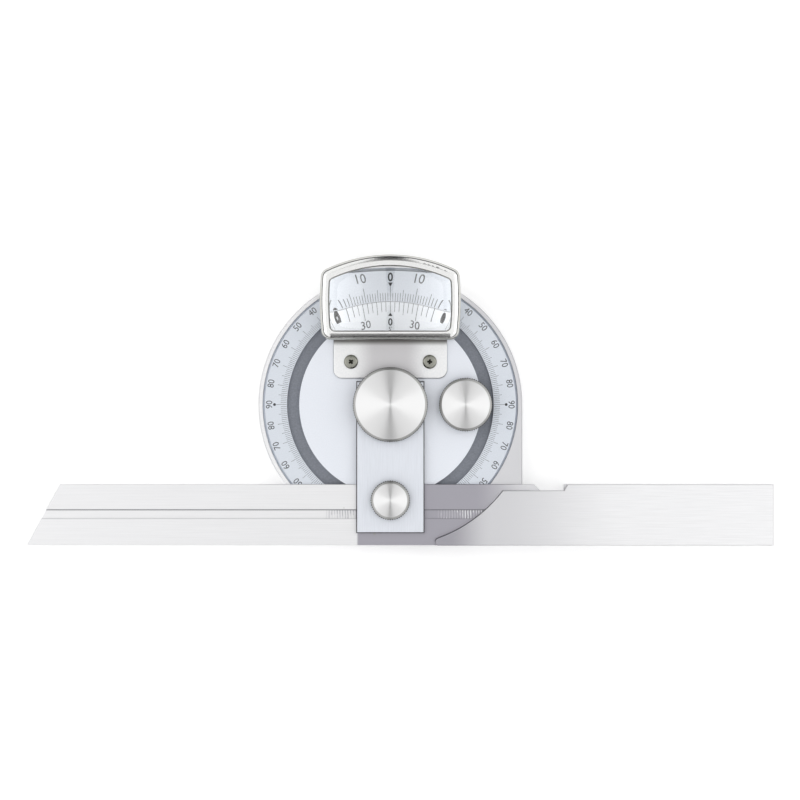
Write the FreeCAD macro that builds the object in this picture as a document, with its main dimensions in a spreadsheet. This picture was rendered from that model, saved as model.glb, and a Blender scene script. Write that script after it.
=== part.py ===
import FreeCAD, Part
import math
import os

import Sketcher

# Bevel protractor with a vernier, a magnifier and a sliding blade, lying on its back.
# The origin is the pivot axis on the back face, +Z points out of the dial, and +X runs along the stock.
# All lengths are in millimetres, all angles in degrees.

SIZES = {
    # the round parts, from the turret outwards
    "turret_radius": 32.1,
    "grey_ring_width": 4.3,
    "dial_width": 8.48,
    "dial_gap": 0.12,
    "rim_width": 1.5,
    "rim_chamfer": 0.4,
    "dial_chamfer": 0.65,
    "floor_thickness": 2.4,
    # stock
    "stock_end": 134.8,
    "stock_width": 21.6,
    "edge_lead": 0.1,
    "stock_step_start": 61.0,
    "stock_step_slant": 1.2,
    "stock_step_depth": 2.2,
    "stock_tip": 15.7,
    "tip_rounding": 1.15,
    "stock_chamfer": 0.3,
    "lip_thickness": 2.2,
    "lip_arc_gap": 2.93,
    "blade_travel_in": 5.0,
    "slot_end_gap": 0.7,
    "slot_clearance": 0.2,
    # ring gear and pinion of the fine adjustment
    "gear_wall": 2.1,
    "ring_teeth": 120,
    "pinion_teeth": 14,
    "gear_backlash": 0.12,
    "gear_thickness": 1.5,
    "gear_play": 0.1,
    "ring_gear_gap": 0.05,
    "gear_bore_gap": 0.6,
    "pinion_thickness": 1.3,
    "pinion_shaft_radius": 2.0,
    # running fits, radial
    "running_fit": 0.03,
    "screw_play": 0.25,
    # turret
    "turret_rim": 1.4,
    "boss_radius": 6.0,
    "boss_drop": 0.3,
    "thrust_radius": 20.0,
    "thrust_thickness": 0.4,
    # vernier plate
    "vernier_lap": 4.1,
    "vernier_half_angle": 36.0,
    "vernier_thickness": 0.7,
    "rivet_radius": 0.7,
    "rivet_lean": 24.0,
    # blade
    "blade_thickness": 2.0,
    "blade_inner": 28.05,
    "blade_width": 21.45,
    "blade_left": 127.9,
    "blade_left_run": 11.6,
    "blade_right": 72.1,
    "blade_chamfer": 0.15,
    "groove_offset": 8.85,
    "groove_width": 3.3,
    "groove_depth": 1.0,
    "groove_undercut": 0.3,
    # clamp arm
    "arm_half_width": 12.0,
    "arm_reach": 45.2,
    "arm_top": 8.2,
    "arm_plate": 2.75,
    "arm_play": 0.05,
    "arm_shoulder_gap": 0.12,
    "arm_chamfer": 0.35,
    # hook bolt of the blade clamp
    "clamp_offset": 33.6,
    "hook_half_length": 9.0,
    "hook_foot": 0.9,
    "hook_travel": 0.3,
    "hook_play": 0.1,
    "hook_radius": 2.0,
    # knobs
    "knurl_pitch": 0.84,
    "knurl_depth": 0.36,
    "knob_chamfer": 0.7,
    "lock_radius": 13.25,
    "lock_height": 7.4,
    "lock_neck_radius": 8.0,
    "lock_neck": 1.0,
    "lock_washer_radius": 9.0,
    "lock_washer_thickness": 0.6,
    "stud_radius": 3.0,
    "stud_head_radius": 5.5,
    "stud_head": 1.4,
    "fine_radius": 9.5,
    "fine_height": 6.8,
    "fine_neck_radius": 5.0,
    "fine_neck": 1.8,
    "fine_gap": 0.2,
    "bush_radius": 3.2,
    "bush_flange_radius": 4.6,
    "bush_flange": 1.0,
    "clamp_radius": 7.0,
    "clamp_height": 6.5,
    "clamp_neck_radius": 4.6,
    "clamp_neck": 0.9,
    "clamp_washer_radius": 5.0,
    "clamp_washer_thickness": 0.5,
    "knob_roof": 1.4,
    "bore_end_gap": 0.6,
    # magnifier
    "frame_half_width": 24.7,
    "frame_bottom": 22.7,
    "frame_arch": 52.6,
    "frame_side_arc": 100.0,
    "frame_corner": 3.2,
    "frame_rounding": 2.2,
    "frame_clearance": 1.0,
    "frame_side": 3.4,
    "frame_bottom_wall": 3.2,
    "frame_top_wall": 4.2,
    "window_corner": 1.6,
    "window_chamfer": 0.45,
    "bezel_thickness": 0.7,
    "lens_lap": 0.8,
    "lens_gap": 0.03,
    "lens_radius": 50.0,
    "lens_thickness": 12.4,
    "lens_height": 13.0,
    "retainer_thickness": 1.0,
    # magnifier bracket
    "bracket_half_width": 20.0,
    "bracket_bottom": 9.2,
    "bracket_thickness": 1.2,
    "bracket_riser": 23.0,
    "bracket_flange": 2.4,
    "riser_half_width": 10.0,
    "flange_half_width": 17.0,
    "bracket_edge": 0.3,
    "bracket_corner": 3.0,
    "bracket_screw_across": 13.85,
    "bracket_screw_up": 15.05,
    "pan_head_radius": 2.5,
    "pan_head": 1.7,
    "bracket_screw_radius": 1.25,
    # small fasteners
    "small_screw_radius": 1.0,
    "small_head_radius": 1.9,
    "small_head": 1.0,
    "arm_screw_across": 8.0,
    "arm_screw_down": 17.5,
    "dowel_radius": 1.0,
    "dowel_first": 12.5,
    "dowel_second": 24.0,
    "screw_end_gap": 0.4,
    "frame_screw_across": 14.0,
    "frame_screw_radius": 0.8,
    "frame_screw_head": 1.4,
    "frame_screw_head_height": 1.0,
    "frame_screw_inset": 1.2,
    "frame_screw_grip": 1.5,
    "grub_radius": 0.75,
    "shaft_chamfer": 0.3,
}


class Size:
    """A length that knows both its number and the spreadsheet formula that gives it."""

    def __init__(self, value, text):
        self.value = value
        self.text = text

    def joined(self, other, sign, value):
        return Size(value, f"({self.text} {sign} {other.text})")

    def __add__(self, other):
        other = as_size(other)
        return self.joined(other, "+", self.value + other.value)

    def __sub__(self, other):
        other = as_size(other)
        return self.joined(other, "-", self.value - other.value)

    def __mul__(self, other):
        other = as_size(other)
        return self.joined(other, "*", self.value * other.value)

    def __truediv__(self, other):
        other = as_size(other)
        return self.joined(other, "/", self.value / other.value)

    def __neg__(self):
        return Size(-self.value, f"(0 - {self.text})")

    def __rmul__(self, other):
        return as_size(other) * self

    def __rsub__(self, other):
        return as_size(other) - self

    def __radd__(self, other):
        return as_size(other) + self


def as_size(number):
    return number if isinstance(number, Size) else Size(float(number), repr(float(number)))


def root(size):
    return Size(math.sqrt(size.value), f"sqrt({size.text})")


def least(first, second):
    return Size(min(first.value, second.value), f"min({first.text}; {second.text})")


def length(across, up):
    return root(across * across + up * up)


def sine(size):
    return Size(math.sin(math.radians(size.value)), f"sin({size.text} * 1 deg)")


def cosine(size):
    return Size(math.cos(math.radians(size.value)), f"cos({size.text} * 1 deg)")


doc = FreeCAD.newDocument("BevelProtractor")
sheet = doc.addObject("Spreadsheet::Sheet", "Sizes")
for row, (name, value) in enumerate(SIZES.items(), start=1):
    sheet.set(f"A{row}", name)
    sheet.set(f"B{row}", str(value))
    sheet.setAlias(f"B{row}", name)
doc.recompute()


def size(name):
    return Size(float(SIZES[name]), f"Sizes.{name}")


# ---- levels and places that several pieces share

DIAL_INNER = size("turret_radius") + size("grey_ring_width")
DIAL_OUTER = DIAL_INNER + size("dial_width")
BED_RECESS = DIAL_OUTER + size("dial_gap")
BODY_RADIUS = BED_RECESS + size("rim_width")
GEAR_PITCH = size("turret_radius") - size("gear_wall")
GEAR_MODULE = GEAR_PITCH * 2 / size("ring_teeth")
GEAR_TIP = GEAR_PITCH - GEAR_MODULE
HUB_RADIUS = GEAR_TIP - size("gear_bore_gap")
VERNIER_INNER = size("turret_radius") - size("vernier_lap")
BLADE_EDGE = size("blade_inner") + size("blade_width")
STOCK_EDGE = BLADE_EDGE + size("edge_lead")
STOCK_TOP = STOCK_EDGE - size("stock_width")
ARM_CORNER = length(size("arm_half_width"), size("arm_reach"))
LIP_ARC = ARM_CORNER + size("lip_arc_gap")
SLOT_END = length(size("blade_right") + size("blade_travel_in"), BLADE_EDGE) + size("slot_end_gap")
WINDOW_HALF_WIDTH = size("frame_half_width") - size("frame_side")
WINDOW_BOTTOM = size("frame_bottom") + size("frame_bottom_wall")
WINDOW_ARCH = size("frame_arch") - size("frame_top_wall")

FLOOR = size("floor_thickness")
GEAR_TOP = FLOOR + size("gear_thickness")
TURRET_RIM_BACK = GEAR_TOP + size("gear_play")
BED = TURRET_RIM_BACK + size("turret_rim")
HUB_BACK = FLOOR + size("thrust_thickness")
BLADE_BACK = BED + size("slot_clearance")
BLADE_FRONT = BLADE_BACK + size("blade_thickness")
LIP_BACK = BLADE_FRONT + size("slot_clearance")
STOCK_FRONT = LIP_BACK + size("lip_thickness")
ARM_BACK = BLADE_FRONT + size("arm_play")
ARM_FRONT = ARM_BACK + size("arm_plate")
FRAME_BACK = STOCK_FRONT + size("frame_clearance")
LENS_LEVEL = BED + size("lens_height")
GEAR_CENTRES = GEAR_MODULE * (size("ring_teeth") - size("pinion_teeth")) / 2
GROOVE_UPPER = size("blade_inner") + size("groove_offset")
GROOVE_LOWER = GROOVE_UPPER + size("groove_width")
GROOVE_FLOOR = BLADE_FRONT - size("groove_depth")
LENS_CENTRE = DIAL_INNER
LENS_EDGE = least(LENS_CENTRE - WINDOW_BOTTOM, WINDOW_ARCH - LENS_CENTRE)
LENS_SAG = size("lens_radius") - root(size("lens_radius") * size("lens_radius") - LENS_EDGE * LENS_EDGE)
LENS_HALF_EDGE = size("lens_thickness") / 2 - LENS_SAG
BEZEL_BACK = LENS_LEVEL + LENS_HALF_EDGE + size("lens_gap")
FRAME_FRONT = BEZEL_BACK + size("bezel_thickness")
RETAINER_FRONT = LENS_LEVEL - LENS_HALF_EDGE - size("lens_gap")


# ---- how the shapes are made


def new_body(label):
    body = doc.addObject("PartDesign::Body", label)
    body.Label = label
    return body


def origin_plane(body, role):
    for feature in body.Origin.OriginFeatures:
        if feature.Role == role:
            return feature
    raise ValueError(f"{body.Label} has no {role}")


def new_sketch(body, role="XY_Plane", level=None):
    sketch = body.newObject("Sketcher::SketchObject", f"{body.Label}_sketch")
    sketch.AttachmentSupport = [(origin_plane(body, role), "")]
    sketch.MapMode = "FlatFace"
    if level is not None:
        sketch.AttachmentOffset = FreeCAD.Placement(
            FreeCAD.Vector(0, 0, level.value), FreeCAD.Rotation()
        )
        sketch.setExpression("AttachmentOffset.Base.z", level.text)
    return sketch


def bind(sketch, kind, where, target):
    index = sketch.addConstraint(Sketcher.Constraint(kind, *where, target.value))
    sketch.setExpression(f"Constraints[{index}]", target.text)


def hold_point(sketch, curve, end, x=None, y=None):
    """Holds one end of a curve at x, y from the sketch's origin. None leaves it free."""
    if x is not None:
        if abs(x.value) < 1e-9:
            sketch.addConstraint(Sketcher.Constraint("PointOnObject", curve, end, -2))
        else:
            bind(sketch, "DistanceX", (-1, 1, curve, end), x)
    if y is not None:
        if abs(y.value) < 1e-9:
            sketch.addConstraint(Sketcher.Constraint("PointOnObject", curve, end, -1))
        else:
            bind(sketch, "DistanceY", (-1, 1, curve, end), y)


def draw_polygon(sketch, corners):
    corners = [(as_size(x), as_size(y)) for x, y in corners]
    points = [FreeCAD.Vector(x.value, y.value, 0) for x, y in corners]
    curves = []
    for first, second in zip(points, points[1:] + points[:1]):
        curves.append(sketch.addGeometry(Part.LineSegment(first, second)))
    for curve, following in zip(curves, curves[1:] + curves[:1]):
        sketch.addConstraint(Sketcher.Constraint("Coincident", curve, 2, following, 1))
    for curve, (x, y) in zip(curves, corners):
        hold_point(sketch, curve, 1, x, y)
    return sketch


def draw_circle(sketch, radius, x=0, y=0):
    x, y, radius = as_size(x), as_size(y), as_size(radius)
    centre = FreeCAD.Vector(x.value, y.value, 0)
    curve = sketch.addGeometry(Part.Circle(centre, FreeCAD.Vector(0, 0, 1), radius.value))
    if abs(x.value) < 1e-9 and abs(y.value) < 1e-9:
        sketch.addConstraint(Sketcher.Constraint("Coincident", curve, 3, -1, 1))
    else:
        hold_point(sketch, curve, 3, x, y)
    bind(sketch, "Radius", (curve,), radius)
    return sketch


def origin_arc(sketch, radius, first, second):
    """An arc about the sketch's origin, counterclockwise from angle first to angle second (radians)."""
    circle = Part.Circle(FreeCAD.Vector(0, 0, 0), FreeCAD.Vector(0, 0, 1), radius.value)
    curve = sketch.addGeometry(Part.ArcOfCircle(circle, first, second))
    sketch.addConstraint(Sketcher.Constraint("Coincident", curve, 3, -1, 1))
    bind(sketch, "Radius", (curve,), radius)
    return curve


def circles_meet(first_radius, centre_x, centre_y, radius):
    """Where a circle about the origin meets another circle, on the side of larger y."""
    apart = math.hypot(centre_x, centre_y)
    along = (first_radius**2 - radius**2 + apart**2) / (2 * apart)
    across = math.sqrt(first_radius**2 - along**2)
    points = []
    for sign in (-1, 1):
        x = (along * centre_x - sign * across * centre_y) / apart
        y = (along * centre_y + sign * across * centre_x) / apart
        points.append((x, y))
    return max(points, key=lambda point: point[1])


def draw_arch(sketch, half_width, bottom, arch, side_radius):
    """Flat bottom, slightly barrelled sides and a top that is an arc about the pivot axis."""
    centre = half_width - side_radius
    level = DIAL_INNER
    low_x = centre.value + math.sqrt(side_radius.value**2 - (bottom.value - level.value) ** 2)
    high_x, high_y = circles_meet(arch.value, centre.value, level.value, side_radius.value)
    low = math.atan2(bottom.value - level.value, low_x - centre.value)
    high = math.atan2(high_y - level.value, high_x - centre.value)
    lean = math.atan2(high_x, high_y)
    base = sketch.addGeometry(
        Part.LineSegment(
            FreeCAD.Vector(-low_x, bottom.value, 0), FreeCAD.Vector(low_x, bottom.value, 0)
        )
    )
    sides = []
    for side, start, end in ((1, low, high), (-1, math.pi - high, math.pi - low)):
        middle = FreeCAD.Vector(side * centre.value, level.value, 0)
        circle = Part.Circle(middle, FreeCAD.Vector(0, 0, 1), side_radius.value)
        curve = sketch.addGeometry(Part.ArcOfCircle(circle, start, end))
        hold_point(sketch, curve, 3, side * centre, level)
        bind(sketch, "Radius", (curve,), side_radius)
        sides.append(curve)
    top = origin_arc(sketch, arch, math.pi / 2 - lean, math.pi / 2 + lean)
    for first, first_end, second, second_end in (
        (base, 2, sides[0], 1),
        (sides[0], 2, top, 1),
        (top, 2, sides[1], 1),
        (sides[1], 2, base, 1),
    ):
        sketch.addConstraint(
            Sketcher.Constraint("Coincident", first, first_end, second, second_end)
        )
    hold_point(sketch, base, 1, None, bottom)
    hold_point(sketch, base, 2, None, bottom)
    return sketch


def draw_sector(sketch, inner, outer, half_angle):
    """A ring sector about the pivot axis, centred on +Y."""
    lean = math.radians(half_angle.value)
    left, right = math.pi / 2 + lean, math.pi / 2 - lean
    inside = origin_arc(sketch, inner, right, left)
    outside = origin_arc(sketch, outer, right, left)
    ends = []
    for angle, end in ((left, 2), (right, 1)):
        direction = FreeCAD.Vector(math.cos(angle), math.sin(angle), 0)
        line = sketch.addGeometry(
            Part.LineSegment(direction * inner.value, direction * outer.value)
        )
        sketch.addConstraint(Sketcher.Constraint("Coincident", line, 1, inside, end))
        sketch.addConstraint(Sketcher.Constraint("Coincident", line, 2, outside, end))
        ends.append(line)
    for line, side in zip(ends, (-1, 1)):
        for end, radius in ((1, inner), (2, outer)):
            hold_point(sketch, line, end, side * radius * sine(half_angle), None)
    return sketch


def pad(body, sketch, height, symmetric=False):
    feature = body.newObject("PartDesign::Pad", f"{body.Label}_pad")
    feature.Profile = sketch
    feature.Length = height.value
    feature.setExpression("Length", height.text)
    if symmetric:
        feature.SideType = "Symmetric"
    return feature


def pocket(body, sketch, depth, upward=True, symmetric=False):
    """Cuts from the sketch's plane along its normal, or against it."""
    feature = body.newObject("PartDesign::Pocket", f"{body.Label}_pocket")
    feature.Profile = sketch
    feature.Length = depth.value
    feature.setExpression("Length", depth.text)
    feature.Reversed = upward
    if symmetric:
        feature.SideType = "Symmetric"
    return feature


def turn(body, corners):
    """Turns a half section, given as radius and level, about the body's Z axis."""
    sketch = draw_polygon(new_sketch(body, "XZ_Plane"), corners)
    feature = body.newObject("PartDesign::Revolution", f"{body.Label}_turning")
    feature.Profile = sketch
    feature.ReferenceAxis = (sketch, ["V_Axis"])
    feature.Angle = 360
    return feature


def groove_turn(body, corners):
    """Cuts a turned half section out of the body."""
    sketch = draw_polygon(new_sketch(body, "XZ_Plane"), corners)
    feature = body.newObject("PartDesign::Groove", f"{body.Label}_groove")
    feature.Profile = sketch
    feature.ReferenceAxis = (sketch, ["V_Axis"])
    feature.Angle = 360
    return feature


def drill(body, places, radius, level, depth):
    """Round holes from a level towards +Z, all of one radius."""
    sketch = new_sketch(body, level=as_size(level))
    for x, y in places:
        draw_circle(sketch, radius, x, y)
    return pocket(body, sketch, as_size(depth))


def dress(body, kind, edges, amount):
    """Fillet or Chamfer on the edges of the body's tip that the test edges() picks."""
    doc.recompute()
    base = body.Tip
    names = [
        f"Edge{number}"
        for number, edge in enumerate(base.Shape.Edges, start=1)
        if edges(edge)
    ]
    feature = body.newObject(f"PartDesign::{kind}", f"{body.Label}_{kind.lower()}")
    feature.Base = (base, names)
    field = "Radius" if kind == "Fillet" else "Size"
    setattr(feature, field, amount.value)
    feature.setExpression(field, amount.text)
    return feature


def at_level(edge, level):
    return all(abs(vertex.Z - level.value) < 1e-4 for vertex in edge.Vertexes) and (
        abs(edge.BoundBox.ZLength) < 1e-4
    )


def is_upright(edge):
    return edge.BoundBox.XLength < 1e-4 and edge.BoundBox.YLength < 1e-4


def place(item, x=0, y=0, z=0):
    """Puts a finished object at x, y, z, bound to the sheet."""
    for axis, amount in (("x", x), ("y", y), ("z", z)):
        amount = as_size(amount)
        setattr(item.Placement.Base, axis, amount.value)
        item.setExpression(f"Placement.Base.{axis}", amount.text)


def cylinder(name, radius, level, height, x=0, y=0):
    item = doc.addObject("Part::Cylinder", name)
    item.setExpression("Radius", as_size(radius).text)
    item.setExpression("Height", as_size(height).text)
    place(item, x, y, level)
    return item


def cone(name, low_radius, high_radius, level, height, x=0, y=0):
    item = doc.addObject("Part::Cone", name)
    item.setExpression("Radius1", as_size(low_radius).text)
    item.setExpression("Radius2", as_size(high_radius).text)
    item.setExpression("Height", as_size(height).text)
    place(item, x, y, level)
    return item


def cut(label, base, tool):
    item = doc.addObject("Part::Cut", label)
    item.Base = base
    item.Tool = tool
    item.Label = label
    return item


def group(label, items):
    """Identical fasteners as one node: a compound of separate solids."""
    item = doc.addObject("Part::Compound", label)
    item.Links = items
    item.Label = label
    return item


def ring(label, inner, outer, level, height):
    """A plain washer about its own axis."""
    body = new_body(label)
    low, high = level, level + height
    turn(body, [(inner, low), (outer, low), (outer, high), (inner, high)])
    return body


def on_circle(radius, angles):
    places = []
    for angle in angles:
        heading = as_size(angle)
        places.append((radius * cosine(heading), radius * sine(heading)))
    return places


# ---- base: the round bed with the stock

DIAL_SCREW_ANGLES = (30, 150, 270)
GEAR_SCREW_ANGLES = (90, 210, 330)
DIAL_SCREWS = on_circle(DIAL_INNER + size("dial_width") / 2, DIAL_SCREW_ANGLES)
GEAR_SCREWS = on_circle((GEAR_PITCH + DIAL_INNER) / 2, GEAR_SCREW_ANGLES)


def countersink(body, places, level):
    """Seats for small countersunk screws that enter from the back."""
    for x, y in places:
        sketch = draw_circle(new_sketch(body, level=as_size(level)), size("small_head_radius"), x, y)
        seat = pocket(body, sketch, size("small_head"))
        seat.TaperAngle = -math.degrees(
            math.atan2(SIZES["small_head_radius"] - SIZES["small_screw_radius"], SIZES["small_head"])
        )


def make_base_body():
    body = new_body("base_body")
    pad(body, draw_circle(new_sketch(body), BODY_RADIUS), BED)
    edge, top, tip = -STOCK_EDGE, -STOCK_TOP, size("stock_tip")
    step_end = size("stock_step_start")
    lip_top = top - size("stock_step_depth")
    rear = [
        (0, 0),
        (0, -size("turret_radius")),
        (tip, edge),
        (size("stock_end"), edge),
        (size("stock_end"), top),
        (step_end, top),
        (step_end, lip_top),
        (BODY_RADIUS, lip_top),
        (BODY_RADIUS, 0),
    ]
    pad(body, draw_polygon(new_sketch(body), rear), BED)
    front = [
        (tip, edge),
        (size("stock_end"), edge),
        (size("stock_end"), top),
        (step_end + size("stock_step_slant"), top),
        (step_end, lip_top),
        (tip, lip_top),
    ]
    pad(body, draw_polygon(new_sketch(body, level=BED), front), STOCK_FRONT - BED)
    pocket(body, draw_circle(new_sketch(body, level=BED), LIP_ARC), STOCK_FRONT - BED)
    slot = draw_circle(new_sketch(body, level=BED), SLOT_END)
    pocket(body, slot, LIP_BACK - BED)
    dress(body, "Fillet", is_lip_tip, size("tip_rounding"))
    dress(body, "Chamfer", lambda edge: at_level(edge, STOCK_FRONT), size("stock_chamfer"))
    dress(body, "Chamfer", is_rim_edge, size("rim_chamfer"))
    recess = draw_circle(new_sketch(body, level=FLOOR), BED_RECESS)
    pocket(body, recess, BED - FLOOR)
    boss = draw_circle(new_sketch(body), size("boss_radius"))
    pad(body, boss, BED - size("boss_drop"))
    drill(body, [(0, 0)], size("stud_radius") + size("running_fit"), 0, BED)
    drill(body, [(0, 0)], size("stud_head_radius") + size("running_fit"), 0, size("stud_head"))
    drill(body, DIAL_SCREWS + GEAR_SCREWS, size("small_screw_radius"), 0, FLOOR)
    countersink(body, DIAL_SCREWS + GEAR_SCREWS, 0)
    return body


def is_lip_tip(edge):
    """The two upright edges at the tip of the stock's front lip."""
    near = edge.BoundBox.XMax < SIZES["stock_tip"] + 0.01
    return is_upright(edge) and near and edge.BoundBox.ZMin > BED.value + 0.1


def is_rim_edge(edge):
    """The outer top edge of the round bed."""
    round_edge = edge.Curve.TypeId == "Part::GeomCircle"
    return round_edge and at_level(edge, BED) and abs(edge.Curve.Radius - BODY_RADIUS.value) < 1e-4


def make_dial_ring():
    body = new_body("dial_ring")
    outer = DIAL_OUTER
    chamfer = size("dial_chamfer")
    turn(
        body,
        [
            (DIAL_INNER, FLOOR),
            (outer, FLOOR),
            (outer, BED - chamfer),
            (outer - chamfer, BED),
            (DIAL_INNER, BED),
        ],
    )
    drill(body, DIAL_SCREWS, size("small_screw_radius"), FLOOR, (BED - FLOOR) * 0.75)
    return body


def small_screws(label, places, reach):
    """Countersunk screws that enter from the back, heads flush with it."""
    head, shank = size("small_head_radius"), size("small_screw_radius")
    items = []
    for number, (x, y) in enumerate(places):
        body = new_body(f"{label}_{number}")
        turn(body, [(0, 0), (head, 0), (shank, size("small_head")), (shank, reach), (0, reach)])
        place(body, x, y)
        items.append(body)
    return group(label, items)


# ---- fine adjustment: ring gear, pinion and knob


def gear_points(teeth, module, thinning, addendum, dedendum, flank_steps):
    """One closed outline of straight pieces through an involute gear's teeth, a tooth centred on +X."""
    pressure = math.radians(20)
    pitch_radius = teeth * module / 2
    base_radius = pitch_radius * math.cos(pressure)
    tip, foot = pitch_radius + addendum, pitch_radius - dedendum
    half_at_pitch = (math.pi * module / 2 - thinning) / (2 * pitch_radius)
    involute_at_pitch = math.tan(pressure) - pressure

    def half_angle(radius):
        if radius <= base_radius:
            return half_at_pitch + involute_at_pitch
        lean = math.acos(base_radius / radius)
        return half_at_pitch + involute_at_pitch - (math.tan(lean) - lean)

    points = []
    for tooth in range(teeth):
        middle = 2 * math.pi * tooth / teeth
        radii = [foot + (tip - foot) * step / flank_steps for step in range(flank_steps + 1)]
        flank = [(radius, half_angle(radius)) for radius in radii]
        for radius, half in flank:
            points.append((radius, middle - half))
        for radius, half in reversed(flank):
            points.append((radius, middle + half))
    return [FreeCAD.Vector(r * math.cos(a), r * math.sin(a), 0) for r, a in points]


def prism(points, level, height):
    corners = [FreeCAD.Vector(point.x, point.y, level) for point in points]
    face = Part.Face(Part.makePolygon(corners + corners[:1]))
    return face.extrude(FreeCAD.Vector(0, 0, height))


def make_ring_gear():
    """The internal gear is a flat ring with the outline of an external gear of as many teeth cut out."""
    module, teeth = GEAR_MODULE.value, int(SIZES["ring_teeth"])
    tool = doc.addObject("Part::Feature", "ring_gear_teeth")
    outline = gear_points(teeth, module, -SIZES["gear_backlash"], 1.25 * module, module, 1)
    thick = SIZES["gear_thickness"]
    tool.Shape = prism(outline, FLOOR.value - thick, thick * 3)
    blank = new_body("ring_gear_blank")
    outer = DIAL_INNER - size("ring_gear_gap")
    pad(blank, draw_circle(new_sketch(blank, level=FLOOR), outer), size("gear_thickness"))
    drill(blank, GEAR_SCREWS, size("small_screw_radius"), FLOOR, size("gear_thickness") * 0.8)
    return cut("ring_gear", blank, tool)


def make_pinion_shaft():
    """Pinion and its shaft in one piece, on the shaft's own axis."""
    module, teeth = GEAR_MODULE.value, int(SIZES["pinion_teeth"])
    low = FLOOR + size("thrust_thickness") / 2
    high = fine_knob_bore_end() - size("bore_end_gap") / 2
    bevel = size("shaft_chamfer")
    shaft = new_body("pinion_stem")
    radius = size("pinion_shaft_radius")
    turn(shaft, [(0, low), (radius, low), (radius, high - bevel), (radius - bevel, high), (0, high)])
    place(shaft, GEAR_CENTRES)
    wheel = doc.addObject("Part::Feature", "pinion_wheel")
    outline = gear_points(teeth, module, SIZES["gear_backlash"], module, 1.15 * module, 3)
    wheel.Shape = prism(outline, low.value, SIZES["pinion_thickness"])
    place(wheel, GEAR_CENTRES)
    item = doc.addObject("Part::Fuse", "pinion_shaft")
    item.Base = wheel
    item.Tool = shaft
    item.Label = "pinion_shaft"
    return item


def make_pinion_bush():
    body = new_body("pinion_bush")
    bore = size("pinion_shaft_radius") + size("running_fit")
    flange = BED + size("bush_flange")
    turn(
        body,
        [
            (bore, TURRET_RIM_BACK),
            (size("bush_radius"), TURRET_RIM_BACK),
            (size("bush_radius"), BED),
            (size("bush_flange_radius"), BED),
            (size("bush_flange_radius"), flange),
            (bore, flange),
        ],
    )
    place(body, GEAR_CENTRES)
    return body


# ---- knurled knobs


def knurled_knob(label, radius, neck_radius, neck, bottom, height, bore, bore_end, x=0, y=0):
    """A turned knob with a neck below, chamfered faces and a straight knurl round its band."""
    bevel, top, shoulder = size("knob_chamfer"), bottom + height, bottom + neck
    land = radius - size("knurl_depth")
    blank = new_body(f"{label}_blank")
    turn(
        blank,
        [
            (bore, bottom),
            (neck_radius, bottom),
            (neck_radius, shoulder),
            (land - bevel, shoulder),
            (land, shoulder + bevel),
            (land, top - bevel),
            (land - bevel, top),
            (0, top),
            (0, bore_end),
            (bore, bore_end),
        ],
    )
    count = round(2 * math.pi * radius.value / SIZES["knurl_pitch"])
    points = []
    for tooth in range(count):
        for step, reach in ((0, radius.value), (0.5, land.value)):
            angle = 2 * math.pi * (tooth + step) / count
            points.append(FreeCAD.Vector(reach * math.cos(angle), reach * math.sin(angle), 0))
    knurl = doc.addObject("Part::Feature", f"{label}_knurl")
    band = prism(points, (shoulder + bevel).value, height.value - neck.value - 2 * bevel.value)
    hollow = Part.makeCylinder(land.value - bevel.value, 2 * height.value, FreeCAD.Vector(0, 0, bottom.value))
    knurl.Shape = band.cut(hollow)
    for item in (blank, knurl):
        place(item, x, y)
    item = doc.addObject("Part::Fuse", label)
    item.Base = blank
    item.Tool = knurl
    item.Label = label
    return item


LOCK_KNOB_BACK = ARM_FRONT + size("lock_washer_thickness")
FINE_KNOB_BACK = BED + size("bush_flange") + size("fine_gap")
CLAMP_KNOB_BACK = ARM_FRONT + size("clamp_washer_thickness")


def fine_knob_bore_end():
    return FINE_KNOB_BACK + size("fine_height") - size("knob_roof")


def lock_knob_bore_end():
    return LOCK_KNOB_BACK + size("lock_height") - size("knob_roof")


def clamp_knob_bore_end():
    return CLAMP_KNOB_BACK + size("clamp_height") - size("knob_roof")


def make_knobs():
    fit = size("running_fit")
    lock = knurled_knob(
        "lock_knob",
        size("lock_radius"),
        size("lock_neck_radius"),
        size("lock_neck"),
        LOCK_KNOB_BACK,
        size("lock_height"),
        size("stud_radius") + fit,
        lock_knob_bore_end(),
    )
    fine = knurled_knob(
        "fine_knob_turned",
        size("fine_radius"),
        size("fine_neck_radius"),
        size("fine_neck"),
        FINE_KNOB_BACK,
        size("fine_height"),
        size("pinion_shaft_radius"),
        fine_knob_bore_end(),
        GEAR_CENTRES,
    )
    clamp = knurled_knob(
        "clamp_knob",
        size("clamp_radius"),
        size("clamp_neck_radius"),
        size("clamp_neck"),
        CLAMP_KNOB_BACK,
        size("clamp_height"),
        size("hook_radius") + fit,
        clamp_knob_bore_end(),
        0,
        -size("clamp_offset"),
    )
    return lock, fine, clamp


def make_grub_screw():
    """Radial grub screw in the neck of the fine knob."""
    body = new_body("fine_knob_screw")
    reach = size("fine_neck_radius") - size("pinion_shaft_radius") - size("screw_end_gap")
    level = FINE_KNOB_BACK + size("fine_neck") / 2
    sketch = new_sketch(body, "YZ_Plane", GEAR_CENTRES + size("pinion_shaft_radius"))
    draw_circle(sketch, size("grub_radius"), 0, level)
    pad(body, sketch, reach)
    return body


# ---- pivot


def make_pivot_stud():
    body = new_body("pivot_stud")
    head, shank = size("stud_head_radius"), size("stud_radius")
    low = as_size(0)
    high = lock_knob_bore_end() - size("bore_end_gap")
    bevel = size("shaft_chamfer")
    turn(
        body,
        [
            (0, low),
            (head, low),
            (head, size("stud_head")),
            (shank, size("stud_head")),
            (shank, high - bevel),
            (shank - bevel, high),
            (0, high),
        ],
    )
    return body


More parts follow.
